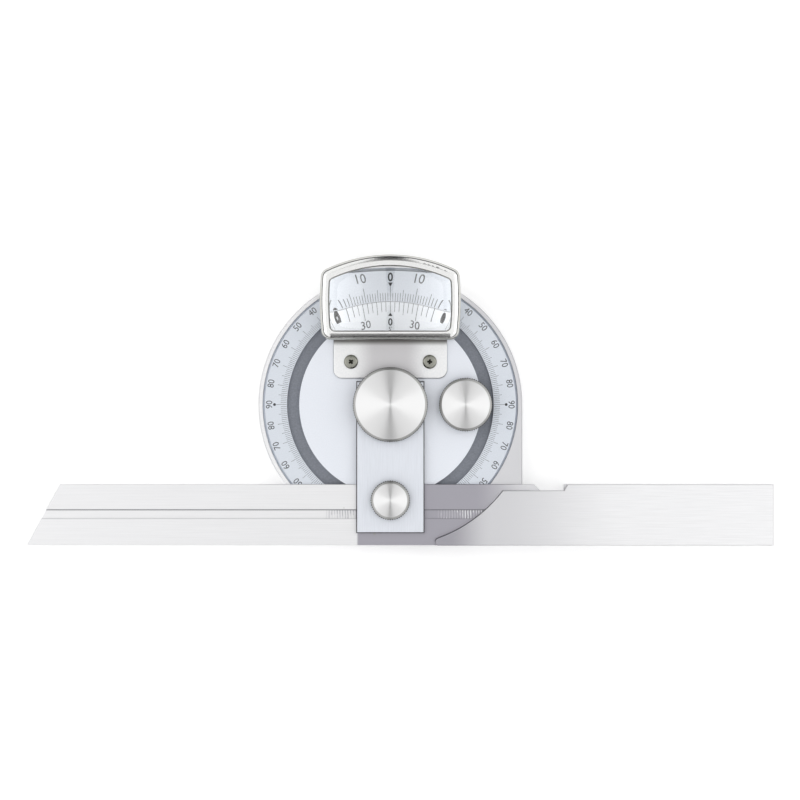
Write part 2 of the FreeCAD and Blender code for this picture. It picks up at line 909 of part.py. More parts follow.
def make_turret_disc():
    body = new_body("turret_disc")
    bore = size("boss_radius") + size("running_fit")
    turn(
        body,
        [
            (bore, HUB_BACK),
            (HUB_RADIUS, HUB_BACK),
            (HUB_RADIUS, TURRET_RIM_BACK),
            (size("turret_radius"), TURRET_RIM_BACK),
            (size("turret_radius"), BED),
            (bore, BED),
        ],
    )
    recess = new_sketch(body, level=BED - size("vernier_thickness"))
    outer = size("turret_radius") + 1
    draw_sector(recess, VERNIER_INNER, outer, size("vernier_half_angle"))
    pocket(body, recess, size("vernier_thickness"))
    room = GEAR_MODULE * (size("pinion_teeth") / 2 + 1) + size("screw_play")
    drill(body, [(GEAR_CENTRES, 0)], room, HUB_BACK, TURRET_RIM_BACK - HUB_BACK)
    drill(body, [(GEAR_CENTRES, 0)], size("bush_radius"), HUB_BACK, BED - HUB_BACK)
    drill(body, ARM_SCREWS, size("small_screw_radius"), HUB_BACK, BED - HUB_BACK)
    countersink(body, ARM_SCREWS, HUB_BACK)
    drill(body, ARM_DOWELS, size("dowel_radius"), HUB_BACK, BED - HUB_BACK)
    drill(body, BRACKET_SCREWS, size("bracket_screw_radius"), HUB_BACK, BED - HUB_BACK)
    drill(body, RIVETS, size("rivet_radius"), TURRET_RIM_BACK, size("turret_rim"))
    return body


def make_vernier_plate():
    body = new_body("vernier_plate")
    level = BED - size("vernier_thickness")
    outer = DIAL_INNER - size("ring_gear_gap")
    sketch = new_sketch(body, level=level)
    inner = VERNIER_INNER + size("ring_gear_gap")
    draw_sector(sketch, inner, outer, size("vernier_half_angle") - 0.1)
    pad(body, sketch, size("vernier_thickness"))
    drill(body, RIVETS, size("rivet_radius"), level, size("vernier_thickness") * 0.7)
    return body


def pins(label, places, radius, low, high):
    items = []
    for number, (x, y) in enumerate(places):
        items.append(cylinder(f"{label}_{number}", radius, low, high - low, x, y))
    return group(label, items)


# ---- clamp arm and blade


def make_clamp_arm():
    body = new_body("clamp_arm")
    half, top = size("arm_half_width"), size("arm_top")
    shoulder = -(size("blade_inner") - size("arm_shoulder_gap"))
    reach = -size("arm_reach")
    block = [(-half, shoulder), (half, shoulder), (half, top), (-half, top)]
    plate = [(-half, reach), (half, reach), (half, top), (-half, top)]
    pad(body, draw_polygon(new_sketch(body, level=BED), block), ARM_FRONT - BED)
    pad(body, draw_polygon(new_sketch(body, level=ARM_BACK), plate), size("arm_plate"))
    dress(body, "Chamfer", lambda edge: at_level(edge, ARM_FRONT), size("arm_chamfer"))
    play = size("hook_play")
    side = size("hook_half_length") + play
    upper = -(size("clamp_offset") - size("hook_radius") - play)
    lower = -(GROOVE_LOWER + play)
    room = [(-side, lower), (side, lower), (side, upper), (-side, upper)]
    depth = HOOK_FOOT_BACK + size("hook_foot") + play - ARM_BACK
    pocket(body, draw_polygon(new_sketch(body, level=ARM_BACK), room), depth)
    stud_hole = size("stud_radius") + size("screw_play")
    drill(body, [(0, 0)], stud_hole, BED, ARM_FRONT - BED)
    stem_hole = size("hook_radius") + size("running_fit")
    drill(body, [(0, -size("clamp_offset"))], stem_hole, ARM_BACK, size("arm_plate"))
    boss_room = size("boss_radius") + size("screw_play")
    drill(body, [(0, 0)], boss_room, BED, size("boss_drop"))
    drill(body, ARM_SCREWS, size("small_screw_radius"), BED, (ARM_FRONT - BED) * 0.7)
    drill(body, ARM_DOWELS, size("dowel_radius"), BED, (ARM_FRONT - BED) * 0.5)
    return body


ARM_SCREWS = [
    (side * size("arm_screw_across"), -size("arm_screw_down")) for side in (-1, 1)
]
ARM_DOWELS = [(0, -size("dowel_first")), (0, -size("dowel_second"))]
BRACKET_SCREWS = [
    (side * size("bracket_screw_across"), size("bracket_screw_up")) for side in (-1, 1)
]
RIVET_CIRCLE = (VERNIER_INNER + size("turret_radius")) / 2
RIVETS = on_circle(RIVET_CIRCLE, (90 - size("rivet_lean"), 90 + size("rivet_lean")))
FRAME_SCREW_UP = size("frame_bottom") + size("frame_screw_inset")
FRAME_SCREWS = [(side * size("frame_screw_across"), FRAME_SCREW_UP) for side in (-1, 1)]
HOOK_FOOT_BACK = BLADE_FRONT + size("hook_travel") + size("arm_play")


def make_arm_screws():
    head, shank = size("small_head_radius"), size("small_screw_radius")
    low = HUB_BACK
    throat = low + size("small_head")
    high = BED + (ARM_FRONT - BED) * 0.7
    items = []
    for number, (x, y) in enumerate(ARM_SCREWS):
        body = new_body(f"arm_screw_{number}")
        turn(body, [(0, low), (head, low), (shank, throat), (shank, high), (0, high)])
        place(body, x, y)
        items.append(body)
    return group("arm_screws", items)


def make_blade():
    body = new_body("blade")
    inner = -size("blade_inner")
    edge = inner - size("blade_width")
    outline = [
        (-size("blade_left"), edge),
        (size("blade_right"), edge),
        (size("blade_right") - size("blade_width"), inner),
        (size("blade_left_run") - size("blade_left"), inner),
    ]
    pad(body, draw_polygon(new_sketch(body, level=BLADE_BACK), outline), size("blade_thickness"))
    dress(body, "Chamfer", is_blade_rim, size("blade_chamfer"))
    section = [
        (-GROOVE_LOWER, BLADE_FRONT + 1),
        (-GROOVE_LOWER, GROOVE_FLOOR),
        (size("groove_undercut") - GROOVE_UPPER, GROOVE_FLOOR),
        (-GROOVE_UPPER, BLADE_FRONT),
        (-GROOVE_UPPER, BLADE_FRONT + 1),
    ]
    length = (size("blade_left") + size("blade_right")) * 2
    groove = draw_polygon(new_sketch(body, "YZ_Plane"), section)
    pocket(body, groove, length, symmetric=True)
    return body


def is_blade_rim(edge):
    return at_level(edge, BLADE_FRONT) or at_level(edge, BLADE_BACK)


def make_hook_bolt():
    """Stem, foot and a dovetail lip that lies in the blade's groove."""
    body = new_body("hook_bolt")
    play = size("hook_play")
    foot_front = HOOK_FOOT_BACK + size("hook_foot")
    lip_back = GROOVE_FLOOR + size("hook_travel") + play
    slope = size("groove_undercut") / size("groove_depth")
    lip_upper = -GROOVE_UPPER - play
    upper = -(size("clamp_offset") - size("hook_radius"))
    lower = play - GROOVE_LOWER
    section = [
        (lower, lip_back),
        (lip_upper + (BLADE_FRONT - lip_back) * slope, lip_back),
        (lip_upper, BLADE_FRONT),
        (lip_upper, HOOK_FOOT_BACK),
        (upper, HOOK_FOOT_BACK),
        (upper, foot_front),
        (lower, foot_front),
    ]
    length = size("hook_half_length") * 2
    pad(body, draw_polygon(new_sketch(body, "YZ_Plane"), section), length, symmetric=True)
    stem = new_sketch(body, level=HOOK_FOOT_BACK)
    draw_circle(stem, size("hook_radius"), 0, -size("clamp_offset"))
    top = clamp_knob_bore_end() - size("bore_end_gap")
    pad(body, stem, top - HOOK_FOOT_BACK)
    return body


# ---- magnifier


def make_bracket():
    """A strip bent twice: a foot on the turret, a riser, and a flange under the frame."""
    body = new_body("magnifier_bracket")
    thick = size("bracket_thickness")
    foot, riser = size("bracket_bottom"), size("bracket_riser")
    flange = riser + size("bracket_flange")
    strips = (
        (foot, riser + thick, BED, BED + thick, size("bracket_half_width")),
        (riser, riser + thick, BED, FRAME_BACK, size("riser_half_width")),
        (riser, flange, FRAME_BACK - thick, FRAME_BACK, size("flange_half_width")),
    )
    for near, far, low, high, half_width in strips:
        section = [(near, low), (far, low), (far, high), (near, high)]
        sketch = draw_polygon(new_sketch(body, "YZ_Plane"), section)
        pad(body, sketch, half_width * 2, symmetric=True)

    def is_foot_corner(edge):
        return is_upright(edge) and edge.BoundBox.YMax < SIZES["bracket_bottom"] + 0.01

    def is_bend(edge):
        inside = abs(edge.BoundBox.YMin - SIZES["bracket_riser"]) < 1e-4
        level = abs(edge.BoundBox.ZMin - (BED + thick).value) < 1e-4
        return edge.BoundBox.XLength > 1 and inside and level

    dress(body, "Fillet", is_foot_corner, size("bracket_corner"))
    def is_foot_rim(edge):
        return at_level(edge, BED + thick) and edge.BoundBox.YMin < SIZES["bracket_riser"] - 0.1

    dress(body, "Fillet", is_bend, thick / 2)
    dress(body, "Fillet", is_foot_rim, size("bracket_edge"))
    drill(body, BRACKET_SCREWS, size("bracket_screw_radius"), BED, thick)
    drill(body, FRAME_SCREWS, size("frame_screw_radius"), FRAME_BACK - thick, thick)
    return body


def make_bracket_screws():
    """Pan head screws."""
    head, shank = size("pan_head_radius"), size("bracket_screw_radius")
    seat = BED + size("bracket_thickness")
    top = seat + size("pan_head")
    low = HUB_BACK
    items = []
    for number, (x, y) in enumerate(BRACKET_SCREWS):
        body = new_body(f"bracket_screw_{number}")
        turn(
            body,
            [
                (0, low),
                (shank, low),
                (shank, seat),
                (head, seat),
                (head, seat + size("pan_head") * 0.45),
                (head * 0.75, seat + size("pan_head") * 0.88),
                (head * 0.4, top),
                (0, top),
            ],
        )
        place(body, x, y)
        items.append(body)
    return group("bracket_screws", items)


def make_frame():
    body = new_body("magnifier_frame")
    lap = size("lens_lap") + size("lens_gap")
    outer = (
        size("frame_half_width"),
        size("frame_bottom"),
        size("frame_arch"),
        size("frame_side_arc"),
    )
    window = window_outline(as_size(0))
    cavity = window_outline(lap)
    pad(body, draw_arch(new_sketch(body, level=FRAME_BACK), *outer), FRAME_FRONT - FRAME_BACK)
    dress(body, "Fillet", is_upright, size("frame_corner"))
    dress(body, "Fillet", lambda edge: at_level(edge, FRAME_FRONT), size("frame_rounding"))
    pocket(body, draw_arch(new_sketch(body, level=BEZEL_BACK), *window), FRAME_FRONT - BEZEL_BACK)

    def is_window_corner(edge):
        inside = edge.BoundBox.YMin > SIZES["frame_bottom"] + 0.1 and edge.BoundBox.YMax < SIZES["frame_arch"]
        across = abs(edge.BoundBox.XMin) < WINDOW_HALF_WIDTH.value + 1e-3
        reach = math.hypot(edge.BoundBox.XMin, edge.BoundBox.YMin)
        return is_upright(edge) and inside and across and reach < WINDOW_ARCH.value + 1e-3

    dress(body, "Fillet", is_window_corner, size("window_corner"))
    pocket(body, draw_arch(new_sketch(body, level=FRAME_BACK), *cavity), BEZEL_BACK - FRAME_BACK)
    dress(body, "Chamfer", is_window_rim, size("window_chamfer"))
    grip = size("frame_screw_grip") + size("screw_end_gap")
    drill(body, FRAME_SCREWS, size("frame_screw_radius"), FRAME_BACK, grip)
    return body


def window_outline(wider):
    """Half width, bottom, arch and side arc of the window, grown all round by a margin."""
    return (
        WINDOW_HALF_WIDTH + wider,
        WINDOW_BOTTOM - wider,
        WINDOW_ARCH + wider,
        size("frame_side_arc") - size("frame_side") + wider,
    )


def is_window_rim(edge):
    if not at_level(edge, FRAME_FRONT):
        return False
    wide = max(abs(edge.BoundBox.XMin), abs(edge.BoundBox.XMax))
    within = wide < WINDOW_HALF_WIDTH.value + 1e-3
    return within and edge.BoundBox.YMin > WINDOW_BOTTOM.value - 1e-3 and (
        edge.BoundBox.YMax < WINDOW_ARCH.value + 1e-3
    )


def make_retainer():
    body = new_body("lens_retainer")
    level = RETAINER_FRONT - size("retainer_thickness")
    outer = draw_arch(new_sketch(body, level=level), *window_outline(size("lens_lap")))
    pad(body, outer, size("retainer_thickness"))
    inner = draw_arch(new_sketch(body, level=level), *window_outline(as_size(0)))
    pocket(body, inner, size("retainer_thickness"))
    return body


def make_lens():
    """A biconvex lens cut to the frame's outline: two balls that overlap, and the outline's prism."""
    blank = new_body("lens_blank")
    level = LENS_LEVEL - size("lens_thickness")
    outline = draw_arch(new_sketch(blank, level=level), *window_outline(size("lens_lap")))
    pad(blank, outline, size("lens_thickness") * 2)
    dress(blank, "Fillet", is_upright, size("window_corner"))
    balls = []
    offset = size("lens_radius") - size("lens_thickness") / 2
    for side, shift in (("front", -offset), ("back", offset)):
        ball = doc.addObject("Part::Sphere", f"lens_{side}_ball")
        ball.setExpression("Radius", size("lens_radius").text)
        ball.Placement.Rotation = FreeCAD.Rotation(FreeCAD.Vector(1, 0, 0), 90)
        place(ball, 0, LENS_CENTRE, LENS_LEVEL + shift)
        balls.append(ball)
    item = doc.addObject("Part::MultiCommon", "magnifier_lens")
    item.Shapes = [blank] + balls
    item.Label = "magnifier_lens"
    return item


def make_frame_screws():
    """Cheese head screws from behind, through the bracket's flange into the frame."""
    seat = FRAME_BACK - size("bracket_thickness")
    head = size("frame_screw_head")
    high = FRAME_BACK + size("frame_screw_grip")
    shank = size("frame_screw_radius")
    low = seat - size("frame_screw_head_height")
    items = []
    for number, (x, y) in enumerate(FRAME_SCREWS):
        body = new_body(f"frame_screw_{number}")
        turn(
            body,
            [(0, low), (head, low), (head, seat), (shank, seat), (shank, high), (0, high)],
        )
        place(body, x, y)
        items.append(body)
    return group("frame_screws", items)


# ---- the assembly


def make_all():
    fit = size("running_fit")
    nodes = [make_base_body(), make_dial_ring()]
    nodes.append(small_screws("dial_screws", DIAL_SCREWS, FLOOR + (BED - FLOOR) * 0.7))
    nodes.append(make_ring_gear())
    nodes.append(small_screws("ring_gear_screws", GEAR_SCREWS, FLOOR + size("gear_thickness") * 0.75))
    nodes.append(make_pivot_stud())
    washer = ring(
        "thrust_washer",
        size("boss_radius") + fit,
        size("thrust_radius"),
        FLOOR,
        size("thrust_thickness"),
    )
    nodes.append(washer)
    nodes += [make_turret_disc(), make_vernier_plate()]
    nodes.append(
        pins("vernier_rivets", RIVETS, size("rivet_radius"), TURRET_RIM_BACK, BED - size("vernier_thickness") * 0.4)
    )
    nodes.append(make_clamp_arm())
    nodes.append(make_arm_screws())
    nodes.append(
        pins("arm_dowels", ARM_DOWELS, size("dowel_radius"), HUB_BACK + 0.2, BED + (ARM_FRONT - BED) * 0.45)
    )
    nodes += [make_pinion_bush(), make_pinion_shaft()]
    lock, fine, clamp = make_knobs()
    grub = make_grub_screw()
    nodes += [lock, clamp, cut("fine_knob", fine, grub), grub]
    nodes.append(make_blade())
    nodes.append(make_hook_bolt())
    nodes.append(
        ring("lock_washer", size("stud_radius") + fit, size("lock_washer_radius"), ARM_FRONT, size("lock_washer_thickness"))
    )
    clamp_washer = ring(
        "clamp_washer",
        size("hook_radius") + fit,
        size("clamp_washer_radius"),
        ARM_FRONT,
        size("clamp_washer_thickness"),
    )
    place(clamp_washer, 0, -size("clamp_offset"))
    nodes.append(clamp_washer)
    nodes += [make_bracket(), make_bracket_screws(), make_frame(), make_frame_screws()]
    nodes += [make_lens(), make_retainer()]
    return nodes


NODES = make_all()
doc.recompute()
failed = [item.Label for item in doc.Objects if "Invalid" in item.State or "Error" in item.State]
for node in NODES:
    if node.Shape.isNull() or not node.Shape.isValid():
        failed.append(node.Label)
if failed:
    raise RuntimeError(f"these objects failed: {sorted(set(failed))}")
os.makedirs("parts", exist_ok=True)
for node in NODES:
    node.Shape.exportStep(os.path.join("parts", f"{node.Label}.step"))
    print(f"{node.Label}: {len(node.Shape.Solids)} solids, {node.Shape.Volume:.1f} mm3")
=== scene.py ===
import math

import bpy
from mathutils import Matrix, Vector


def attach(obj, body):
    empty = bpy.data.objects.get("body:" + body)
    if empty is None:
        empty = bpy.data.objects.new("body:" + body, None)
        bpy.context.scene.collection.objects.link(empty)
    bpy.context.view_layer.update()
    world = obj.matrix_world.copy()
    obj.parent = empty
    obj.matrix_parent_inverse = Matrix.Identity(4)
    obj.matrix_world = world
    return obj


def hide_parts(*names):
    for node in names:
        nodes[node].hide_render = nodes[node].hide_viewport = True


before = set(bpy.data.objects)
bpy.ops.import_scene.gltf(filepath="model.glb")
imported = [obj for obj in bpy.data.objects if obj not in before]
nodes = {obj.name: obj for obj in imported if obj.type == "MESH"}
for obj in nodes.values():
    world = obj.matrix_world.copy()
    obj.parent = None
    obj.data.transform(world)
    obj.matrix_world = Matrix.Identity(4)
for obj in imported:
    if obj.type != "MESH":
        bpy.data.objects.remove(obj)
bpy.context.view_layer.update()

mm = 0.001
grainDepth = 0.01  # mm, relief of the metals' grain
print("stage: solids loaded", len(nodes))


def clearSelection():
    bpy.ops.object.select_all(action="DESELECT")


def only(piece):
    clearSelection()
    piece.select_set(True)
    bpy.context.view_layer.objects.active = piece
    return piece


def settle(piece, place=(0, 0, 0), turn=0.0):
    only(piece)
    piece.rotation_euler = (0, 0, turn)
    piece.location = place
    bpy.ops.object.transform_apply(location=True, rotation=True, scale=True)
    return piece


def joined(pieces, name):
    clearSelection()
    for piece in pieces:
        piece.select_set(True)
    bpy.context.view_layer.objects.active = pieces[0]
    if len(pieces) > 1:
        bpy.ops.object.join()
    whole = bpy.context.object
    whole.name = name
    whole.data.name = name
    return whole


def selectFaces(piece, wanted):
    # picks faces in code, by their place and normal, then stays in edit mode
    only(piece)
    bpy.ops.object.mode_set(mode="EDIT")
    bpy.ops.mesh.select_all(action="DESELECT")
    bpy.ops.mesh.select_mode(type="FACE")
    bpy.ops.object.mode_set(mode="OBJECT")
    for face in piece.data.polygons:
        face.select = bool(wanted(face))
    bpy.ops.object.mode_set(mode="EDIT")


def selectEdges(piece, wanted):
    only(piece)
    bpy.ops.object.mode_set(mode="EDIT")
    bpy.ops.mesh.select_all(action="DESELECT")
    bpy.ops.mesh.select_mode(type="EDGE")
    bpy.ops.object.mode_set(mode="OBJECT")
    corners = piece.data.vertices
    for edge in piece.data.edges:
        ends = [corners[i].co for i in edge.vertices]
        edge.select = bool(wanted(*ends))
    bpy.ops.object.mode_set(mode="EDIT")


def objectMode():
    bpy.ops.object.mode_set(mode="OBJECT")


def ringOf(piece, count, step):
    # repeats a piece about the pivot axis, step in degrees, clockwise
    clearSelection()
    bpy.ops.object.empty_add()
    turner = bpy.context.object
    turner.rotation_euler.z = -math.radians(step)
    only(piece)
    copies = piece.modifiers.new("copies", "ARRAY")
    copies.use_relative_offset = False
    copies.use_object_offset = True
    copies.offset_object = turner
    copies.count = count
    bpy.ops.object.modifier_apply(modifier="copies")
    bpy.data.objects.remove(turner)
    return piece


def node(tree, kind, **settings):
    made = tree.nodes.new(kind)
    for key, value in settings.items():
        if key in made.inputs:
            made.inputs[key].default_value = value
        else:
            setattr(made, key, value)
    return made


def metal(name, colour, roughness, metallic=1.0, anisotropic=0.0):
    material = bpy.data.materials.new(name)
    material.use_nodes = True
    shader = material.node_tree.nodes["Principled BSDF"]
    shader.inputs["Base Color"].default_value = (*colour, 1)
    shader.inputs["Metallic"].default_value = metallic
    shader.inputs["Roughness"].default_value = roughness
    shader.inputs["Anisotropic"].default_value = anisotropic
    return material


def grain(material, scale, colour, rough, bump):
    # streaks or grit on Object coordinates: colour, roughness and a fine bump
    tree = material.node_tree
    links = tree.links
    shader = tree.nodes["Principled BSDF"]
    base = tuple(shader.inputs["Base Color"].default_value)
    level = shader.inputs["Roughness"].default_value
    coordinates = node(tree, "ShaderNodeTexCoord")
    mapping = node(tree, "ShaderNodeMapping", Scale=scale)
    noise = node(tree, "ShaderNodeTexNoise", Scale=1.0, Detail=4.0, Roughness=0.6)
    links.new(coordinates.outputs["Object"], mapping.inputs["Vector"])
    links.new(mapping.outputs["Vector"], noise.inputs["Vector"])
    tint = node(tree, "ShaderNodeMix", data_type="RGBA")
    tint.inputs[6].default_value = tuple(min(1.0, c * (1 - colour)) for c in base[:3]) + (1,)
    tint.inputs[7].default_value = tuple(min(1.0, c * (1 + colour)) for c in base[:3]) + (1,)
    spread = node(tree, "ShaderNodeMapRange")
    spread.inputs["From Min"].default_value = 0.35
    spread.inputs["From Max"].default_value = 0.65
    links.new(noise.outputs["Fac"], spread.inputs["Value"])
    links.new(spread.outputs["Result"], tint.inputs[0])
    links.new(tint.outputs[2], shader.inputs["Base Color"])
    gloss = node(tree, "ShaderNodeMapRange")
    gloss.inputs["To Min"].default_value = level - rough
    gloss.inputs["To Max"].default_value = level + rough
    links.new(noise.outputs["Fac"], gloss.inputs["Value"])
    links.new(gloss.outputs["Result"], shader.inputs["Roughness"])
    relief = node(tree, "ShaderNodeBump", Strength=bump, Distance=grainDepth * mm)
    links.new(noise.outputs["Fac"], relief.inputs["Height"])
    links.new(relief.outputs["Normal"], shader.inputs["Normal"])
    return material


def spread(tree, value, fromLow, fromHigh, toLow=0.0, toHigh=1.0, soft=True):
    # a value carried from one range to another, held at both ends
    made = node(tree, "ShaderNodeMapRange", interpolation_type="SMOOTHSTEP" if soft else "LINEAR")
    for key, number in (
        ("From Min", fromLow),
        ("From Max", fromHigh),
        ("To Min", toLow),
        ("To Max", toHigh),
    ):
        made.inputs[key].default_value = number
    tree.links.new(value, made.inputs["Value"])
    return made.outputs["Result"]


def maths(tree, operation, first, second=None):
    made = node(tree, "ShaderNodeMath", operation=operation)
    for slot, value in enumerate((first, second)):
        if value is None:
            continue
        if isinstance(value, (int, float)):
            made.inputs[slot].default_value = value
        else:
            tree.links.new(value, made.inputs[slot])
    return made.outputs["Value"]


def placeInMm(tree):
    # the piece's own coordinates in millimetres, one output for each axis
    coordinates = node(tree, "ShaderNodeTexCoord")
    scaled = node(tree, "ShaderNodeVectorMath", operation="SCALE")
    scaled.inputs["Scale"].default_value = 1000
    split = node(tree, "ShaderNodeSeparateXYZ")
    tree.links.new(coordinates.outputs["Object"], scaled.inputs[0])
    tree.links.new(scaled.outputs["Vector"], split.inputs["Vector"])
    return split.outputs["X"], split.outputs["Y"], split.outputs["Z"]


def within(tree, value, low, high, soft):
    # one between two values, falling to nothing over the soft margin outside them
    rise = spread(tree, value, low - soft, low)
    fall = spread(tree, value, high, high + soft, 1.0, 0.0)
    return maths(tree, "MULTIPLY", rise, fall)


def stain(material, mask, colour):
    # lays a colour over what the base colour has so far, where the mask is one
    tree = material.node_tree
    socket = tree.nodes["Principled BSDF"].inputs["Base Color"]
    mix = node(tree, "ShaderNodeMix", data_type="RGBA")
    if socket.links:
        tree.links.new(socket.links[0].from_socket, mix.inputs[6])
    else:
        mix.inputs[6].default_value = socket.default_value
    mix.inputs[7].default_value = (*colour, 1)
    tree.links.new(mask, mix.inputs[0])
    tree.links.new(mix.outputs[2], socket)
    return material


finishes = {
    "ground": metal("groundSteel", (0.93, 0.93, 0.94), 0.36),
    "blade": metal("bladeSteel", (0.90, 0.90, 0.91), 0.33),
    "arm": metal("armSteel", (0.83, 0.86, 0.92), 0.34),
    "plate": metal("plateSteel", (0.96, 0.97, 0.98), 0.34),
    "dial": metal("satinChrome", (0.75, 0.79, 0.85), 0.42),
    "turret": metal("turretChrome", (0.88, 0.91, 0.97), 0.40),
    "vernier": metal("vernierChrome", (0.88, 0.91, 0.95), 0.40),
    "grey": metal("greySteel", (0.255, 0.27, 0.305), 0.55),
    "gear": metal("gearSteel", (0.45, 0.45, 0.46), 0.40),
    "turned": metal("turnedSteel", (0.90, 0.90, 0.90), 0.40, anisotropic=0.95),
    "chrome": metal("polishedChrome", (0.90, 0.90, 0.89), 0.15),
    "dark": metal("blackFinish", (0.03, 0.03, 0.03), 0.5, metallic=0.0),
    "brass": metal("brass", (0.72, 0.55, 0.28), 0.3),
    "screw": metal("zincSteel", (0.34, 0.34, 0.30), 0.22),
    # painted shade for the screws' cross recesses
    "recess": metal("darkRecess", (0.05, 0.05, 0.04), 0.5),
    "ink": metal("blackInk", (0.06, 0.062, 0.068), 0.6, metallic=0.0),
}

grains = {  # how fine along each axis, then play in colour and roughness, and relief
    "ground": ((70, 3200, 3200), 0.035, 0.05, 0.10),
    "blade": ((45, 3600, 3600), 0.02, 0.04, 0.06),
    "arm": ((2400, 120, 2400), 0.03, 0.04, 0.08),
    "plate": ((1800, 1800, 1800), 0.04, 0.04, 0.08),
    "dial": ((2600, 2600, 2600), 0.03, 0.03, 0.06),
    "turret": ((2600, 2600, 2600), 0.02, 0.03, 0.06),
    "vernier": ((2600, 2600, 2600), 0.02, 0.03, 0.06),
    "grey": ((2200, 2200, 2200), 0.12, 0.05, 0.2),
}
for name, look in grains.items():
    grain(finishes[name], *look)


def turnedLook(material):
    # turning leaves the grooves round the axis, so the shine runs across them
    tree = material.node_tree
    shader = tree.nodes["Principled BSDF"]
    shader.inputs["Anisotropic Rotation"].default_value = 0.25
    tangent = node(tree, "ShaderNodeTangent", direction_type="RADIAL", axis="Z")
    tree.links.new(tangent.outputs["Tangent"], shader.inputs["Tangent"])
    return material


turnedLook(finishes["turned"])

knobRims = {  # centre, then the radius at the foot of the knurl, mm
    "lockKnob": (0.0, 0.0, 12.89),
    "fineKnob": (26.5, 0.0, 9.14),
    "clampKnob": (0.0, -33.6, 6.64),
}
# painted shade on the knobs' rims, by radius from each knob's axis
rimTones = {
    "bevelStart": -0.75,  # mm from the foot of the knurl
    "bevelFull": -0.65,
    "bevelShade": (0.62, 0.62, 0.61),
    "fluteStart": -0.04,
    "fluteFull": 0.04,
    "fluteShade": (0.10, 0.10, 0.095),
}


def knurledLook(name, centreX, centreY, foot, values):
    # painted shade in the flutes of the knurl, and a lighter painted shade on the bevel above them
    material = finishes["turned"].copy()
    material.name = name + "Steel"
    tree = material.node_tree
    x, y, z = placeInMm(tree)
    across = maths(tree, "SUBTRACT", x, centreX)
    up = maths(tree, "SUBTRACT", y, centreY)
    squares = [maths(tree, "MULTIPLY", side, side) for side in (across, up)]
    radius = maths(tree, "SQRT", maths(tree, "ADD", *squares))
    for part in ("bevel", "flute"):
        mask = spread(tree, radius, foot + values[part + "Start"], foot + values[part + "Full"])
        stain(material, mask, values[part + "Shade"])
    return material


for name, (centreX, centreY, foot) in knobRims.items():
    finishes[name] = knurledLook(name, centreX, centreY, foot, rimTones)

bladeMarks = {  # places in mm
    "duller": (0.42, 0.41, 0.455),  # painted shade on the blade to the right of the arm
    "shadeFrom": -12.0,
    "shadeFull": -11.2,
    "fadeFrom": 29.0,
    "fadeTo": 50.0,
    "fadeLeft": 0.3,
    "grooveUpper": -36.9,
    "grooveLower": -40.2,
    "grooveShade": (0.24, 0.24, 0.26),
    "grooveSoft": 0.1,
    "cornerWidth": 0.32,
    "cornerSoft": 0.08,
    "cornerStrength": 0.85,
    "footWidth": 0.12,
    "footStrength": 0.35,
    "hatchPitch": 0.95,
    "hatchAreas": ((-20.0, -12.0, 0.7), (20.0, 33.0, 1.0)),  # from, to, strength
    "hatchSoft": 4.0,
    "hatchWander": 5.0,
    "hatchPatches": 260.0,
    "hatchShade": (0.34, 0.33, 0.37),
    "hatchLight": (0.78, 0.78, 0.80),
    "speckCells": 190.0,
    "speckSize": 0.13,
    "speckFrom": 0.86,
    "speckTo": 0.90,
    "speckStrength": 0.7,
    "speckShade": (0.38, 0.38, 0.36),
}


def times(tree, *values):
    # the product of several values
    total = values[0]
    for value in values[1:]:
        total = maths(tree, "MULTIPLY", total, value)
    return total


def dullBlade(material, values):
    # painted shade on the blade right of the arm, fading out towards the stock
    tree = material.node_tree
    x, y, z = placeInMm(tree)
    rise = spread(tree, x, values["shadeFrom"], values["shadeFull"])
    fade = spread(tree, x, values["fadeTo"], values["fadeFrom"], values["fadeLeft"], 1.0)
    stain(material, times(tree, rise, fade), values["duller"])


def hatchGroove(material, values):
    # faint tool marks on the groove's floor, uneven in pitch and strength
    tree = material.node_tree
    x, y, z = placeInMm(tree)
    soft = values["grooveSoft"]
    lower, upper = values["grooveLower"], values["grooveUpper"]
    floorMask = within(tree, y, lower + soft, upper - soft, soft)
    wander = node(tree, "ShaderNodeTexNoise", Scale=values["hatchPatches"], Detail=2.0)
    where = node(tree, "ShaderNodeTexCoord")
    tree.links.new(where.outputs["Object"], wander.inputs["Vector"])
    turns = maths(tree, "MULTIPLY", x, 2 * math.pi / values["hatchPitch"])
    drift = maths(tree, "MULTIPLY", wander.outputs["Fac"], values["hatchWander"])
    wave = maths(tree, "SINE", maths(tree, "ADD", turns, drift))
    patchy = spread(tree, wander.outputs["Fac"], 0.40, 0.58, 0.25, 1.0)
    for low, high, strength in values["hatchAreas"]:
        area = times(tree, within(tree, x, low, high, values["hatchSoft"]), floorMask, patchy, strength)
        stain(material, times(tree, area, spread(tree, wave, -0.2, 0.6)), values["hatchLight"])
        stain(material, times(tree, area, spread(tree, wave, 0.0, -0.9)), values["hatchShade"])
    # painted shade along the groove's upper corner, and fainter along its foot
    corner = within(tree, y, upper - values["cornerWidth"], upper + 0.02, values["cornerSoft"])
    stain(material, times(tree, corner, values["cornerStrength"]), values["grooveShade"])
    foot = within(tree, y, lower - 0.02, lower + values["footWidth"], soft)
    stain(material, times(tree, foot, values["footStrength"]), values["grooveShade"])


def speckBlade(material, values):
    tree = material.node_tree
    coordinates = node(tree, "ShaderNodeTexCoord")
    cells = node(tree, "ShaderNodeTexVoronoi", Scale=values["speckCells"])
    tree.links.new(coordinates.outputs["Object"], cells.inputs["Vector"])
    tone = node(tree, "ShaderNodeSeparateColor")
    tree.links.new(cells.outputs["Color"], tone.inputs["Color"])
    size = values["speckSize"]
    near = spread(tree, cells.outputs["Distance"], size, size * 0.4)
    few = spread(tree, tone.outputs["Red"], values["speckFrom"], values["speckTo"])
    stain(material, times(tree, near, few, values["speckStrength"]), values["speckShade"])


